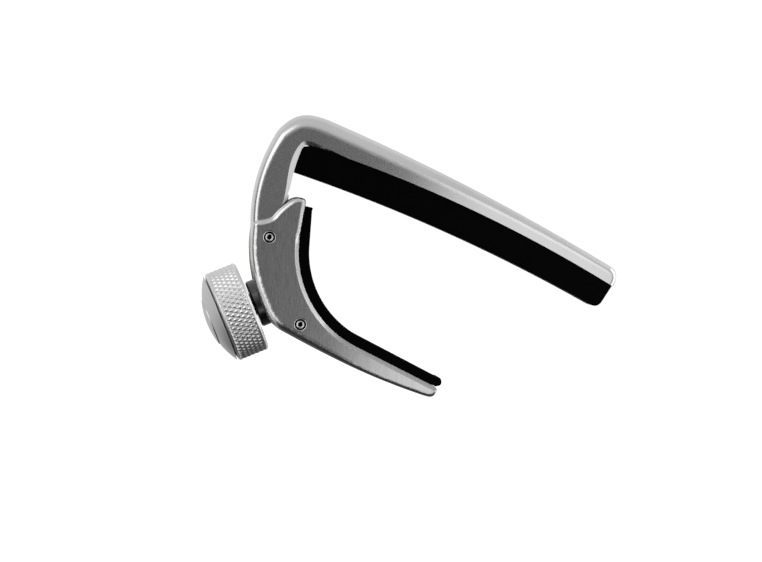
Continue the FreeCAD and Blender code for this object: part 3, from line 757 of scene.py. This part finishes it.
def pin_metal(name, level, roughness):
    """Bright turned pins; painted shade darkens the recesses in their ends from 0.12 to 0.34 mm deep.
    """
    shader = Shader(name).set(Metallic=1.0)
    along = shader.node("SeparateXYZ", {0: shader.place}).outputs["Y"]
    depth = shader.math("SUBTRACT", PIN_END * MM, shader.math("ABSOLUTE", along))
    # painted shade: the metal turns dark with depth in the end recesses, standing in for the shade
    # inside them
    outside_painted_shade = shader.spread(depth, 1.0, 0.0, 0.12 * MM, 0.34 * MM)
    marks = shader.noise(0.12, 2.0)
    bright = shader.mix(shader.spread(marks, 0, 1), grey(level * 0.92), grey(level * 1.05))
    shader.link(shader.mix(outside_painted_shade, grey(RECESS_SHADE_DARK), bright), "Base Color")
    shader.link(shader.spread(marks, roughness - 0.03, roughness + 0.05), "Roughness")
    shader.bump(marks, 0.0006)
    return shader


def wrought_metal(name, color, roughness):
    """Small steel and brass pieces, finely scratched across Y."""
    shader = Shader(name).set(Metallic=1.0)
    scratches = shader.noise(UNIT, 3.0, 0.6, shader.stretched((0.3, 0.05, 0.3)))
    dark = [c * 0.8 for c in color] + [1]
    shader.link(shader.mix(shader.spread(scratches, 0, 1), dark, [*color, 1]), "Base Color")
    shader.link(shader.spread(scratches, roughness - 0.06, roughness + 0.08), "Roughness")
    shader.bump(scratches, 0.003)
    return shader


BRUSH_TURN = math.radians(-24)
alloy = satin_metal("satin_alloy", 0.80, 0.25)
jaw_alloy = brushed_metal("brushed_alloy", 0.78, 0.26, BRUSH_TURN)
knob_alloy = satin_metal("knurl_alloy", 0.90, 0.36, grain=0.16, grain_depth=0.0006)
cap_alloy = turned_metal("cap_alloy", 0.68, 0.34, depth=0.002)
# a dark turned steel; its very low level also paints the shade that falls on the collar between knob
# and jaw
collar_steel_painted_shade = turned_metal("collar_steel_painted_shade", 0.11, 0.24)
pin_steel = wrought_metal("pin_steel", (0.74, 0.74, 0.74), 0.24)
pin_bright = pin_metal("pin_bright", 0.86, 0.16)
dark_steel = wrought_metal("spring_wire", (0.42, 0.42, 0.43), 0.28)
brass = wrought_metal("bearing_brass", (0.80, 0.61, 0.32), 0.30)
black = rubber("black_rubber")

FINISHES = {
    "frame": alloy,
    "jaw": jaw_alloy,
    "screw_bush": collar_steel_painted_shade,
    "thrust_shoe": collar_steel_painted_shade,
    "knob_washer": pin_steel,
    "knob_fixing_screw": pin_steel,
    "wear_plate": pin_steel,
    "stop_sleeve": pin_steel,
    "shoe_clip": dark_steel,
    "pivot_bush_near": brass,
    "pivot_bush_far": brass,
}


def paint(piece, shader):
    piece.data.materials.clear()
    piece.data.materials.append(shader.material)


for name, shader in FINISHES.items():
    paint(nodes[name], shader)
paint(knob, knob_alloy)
paint(knob_cap, cap_alloy)
paint(cap_disc, cap_alloy)
for pin in pins:
    paint(pin, pin_bright)
paint(screw, pin_steel)
paint(spring, dark_steel)
paint(string_pad, black)
paint(jaw_pad, black)


# ---------------------------------------------------------------- camera
# The capo hangs turned by 24 degrees: these are the view's own right and up.
IMAGE_RIGHT = Vector((0.9135, 0, 0.4067))
IMAGE_UP = Vector((-0.4067, 0, 0.9135))
TARGET = Vector((-6.79, -3.0, -14.25)) * MM
LENS = 200.0
SENSOR_WIDTH = 36.0
DISTANCE = 0.8467
LEFT_OF_SQUARE = math.radians(4.0)
ABOVE_SQUARE = math.radians(1.6)


def aim(obj, place, target, up):
    """Puts an object at place, looking at target with a given direction upwards."""
    back = (place - target).normalized()
    right = up.cross(back).normalized()
    true_up = back.cross(right)
    turn = Matrix((right, true_up, back)).transposed().to_4x4()
    obj.matrix_world = Matrix.Translation(place) @ turn


camera_data = bpy.data.cameras.new("camera")
camera_data.lens = LENS
camera_data.sensor_width = SENSOR_WIDTH
camera_data.clip_start = 0.01
camera_data.clip_end = 50.0
camera = bpy.data.objects.new("camera", camera_data)
bpy.context.scene.collection.objects.link(camera)
bpy.context.scene.camera = camera
offset = -ALONG_Y - IMAGE_RIGHT * math.tan(LEFT_OF_SQUARE) + IMAGE_UP * math.tan(ABOVE_SQUARE)
aim(camera, TARGET + offset.normalized() * DISTANCE, TARGET, IMAGE_UP)


# ---------------------------------------------------------------- floor and light
# Steps in the surrounding light along a direction: where each starts and ends, from -1 to 1, and
# the strength before and after it.
BACK_GLOW = (-0.15, 0.25, 0.10, 0.72)
TOP_GLOW = (0.05, 0.60, 0.10, 0.60)
BELOW_SHADE = (0.15, 0.75, 1.0, 0.12)
BACKDROP_STRENGTH = 1.05
FLOOR_GLOW = 0.85
WHITE = (1, 1, 1, 1)


def make_floor():
    """A pale floor, seen by the camera only, so that it puts no reflection on the metal."""
    half = 8.0
    mesh = bpy.data.meshes.new("floor")
    corners = [(-half, -half, 0), (half, -half, 0), (half, half, 0), (-half, half, 0)]
    mesh.from_pydata(corners, [], [(0, 1, 2, 3)])
    floor = bpy.data.objects.new("floor", mesh)
    floor.location.z = cad_low.z
    bpy.context.scene.collection.objects.link(floor)
    shader = Shader("pale_floor").set(Roughness=0.9, Specular_IOR_Level=0.1)
    mottle = shader.noise(300.0, 3.0)
    shader.link(shader.mix(mottle, grey(0.48), grey(0.50)), "Base Color")
    shader.set(Emission_Color=WHITE, Emission_Strength=FLOOR_GLOW)
    paint(floor, shader)
    for ray in ("glossy", "diffuse", "shadow", "transmission"):
        setattr(floor, "visible_" + ray, False)


def make_world():
    """White behind the object; the metal reflects a dim front, a light top and back, a dark below."""
    world = bpy.data.worlds.new("studio")
    bpy.context.scene.world = world
    world.use_nodes = True
    tree = world.node_tree
    tree.nodes.clear()
    place = tree.nodes.new("ShaderNodeTexCoord").outputs["Generated"]

    def toward(direction, value_from, value_to, low, high):
        """A smooth step along a direction of the sky."""
        facing = tree.nodes.new("ShaderNodeVectorMath")
        facing.operation = "DOT_PRODUCT"
        facing.inputs[1].default_value = direction
        tree.links.new(place, facing.inputs[0])
        step = tree.nodes.new("ShaderNodeMapRange")
        step.interpolation_type = "SMOOTHSTEP"
        ends = {"From Min": value_from, "From Max": value_to, "To Min": low, "To Max": high}
        for key, value in ends.items():
            step.inputs[key].default_value = value
        tree.links.new(facing.outputs["Value"], step.inputs["Value"])
        return step.outputs["Result"]

    def combine(operation, first, second):
        """One number from two."""
        node = tree.nodes.new("ShaderNodeMath")
        node.operation = operation
        tree.links.new(first, node.inputs[0])
        tree.links.new(second, node.inputs[1])
        return node.outputs[0]

    back = toward((0.0, 1.0, 0.0), *BACK_GLOW)
    above = toward(IMAGE_UP, *TOP_GLOW)
    below = toward(-IMAGE_UP, *BELOW_SHADE)
    strength = combine("MULTIPLY", combine("MAXIMUM", back, above), below)
    seen = tree.nodes.new("ShaderNodeBackground")
    seen.inputs["Color"].default_value = WHITE
    seen.inputs["Strength"].default_value = BACKDROP_STRENGTH
    around = tree.nodes.new("ShaderNodeBackground")
    around.inputs["Color"].default_value = WHITE
    tree.links.new(strength, around.inputs["Strength"])
    path = tree.nodes.new("ShaderNodeLightPath")
    mix = tree.nodes.new("ShaderNodeMixShader")
    tree.links.new(path.outputs["Is Camera Ray"], mix.inputs[0])
    tree.links.new(around.outputs[0], mix.inputs[1])
    tree.links.new(seen.outputs[0], mix.inputs[2])
    tree.links.new(mix.outputs[0], tree.nodes.new("ShaderNodeOutputWorld").inputs["Surface"])


def make_light(name, right, up, front, width, height, radiance, square=False):
    """A softbox placed from the object's middle, in metres along the view's own directions.

    It faces the object's middle, or, if square, straight along Y with its sides upright.
    """
    data = bpy.data.lights.new(name, "AREA")
    data.shape = "RECTANGLE"
    data.size = width
    data.size_y = height
    data.energy = radiance * math.pi * width * height
    light = bpy.data.objects.new(name, data)
    bpy.context.scene.collection.objects.link(light)
    place = TARGET + IMAGE_RIGHT * right + IMAGE_UP * up - ALONG_Y * front
    if square:
        aim(light, place, place + ALONG_Y, Vector((0, 0, 1)))
    else:
        aim(light, place, TARGET, IMAGE_UP)
    light.visible_camera = False


make_floor()
make_world()
make_light("left_panel", -0.2535, 0.03, 0.26, 0.25, 0.60, 1.15)
make_light("right_panel", 0.0775, -0.03, 0.075, 0.15, 0.14, 0.72, square=True)
make_light("right_side", 0.30, 0.02, -0.02, 0.20, 0.50, 1.3)

bpy.context.scene.view_settings.view_transform = "Standard"
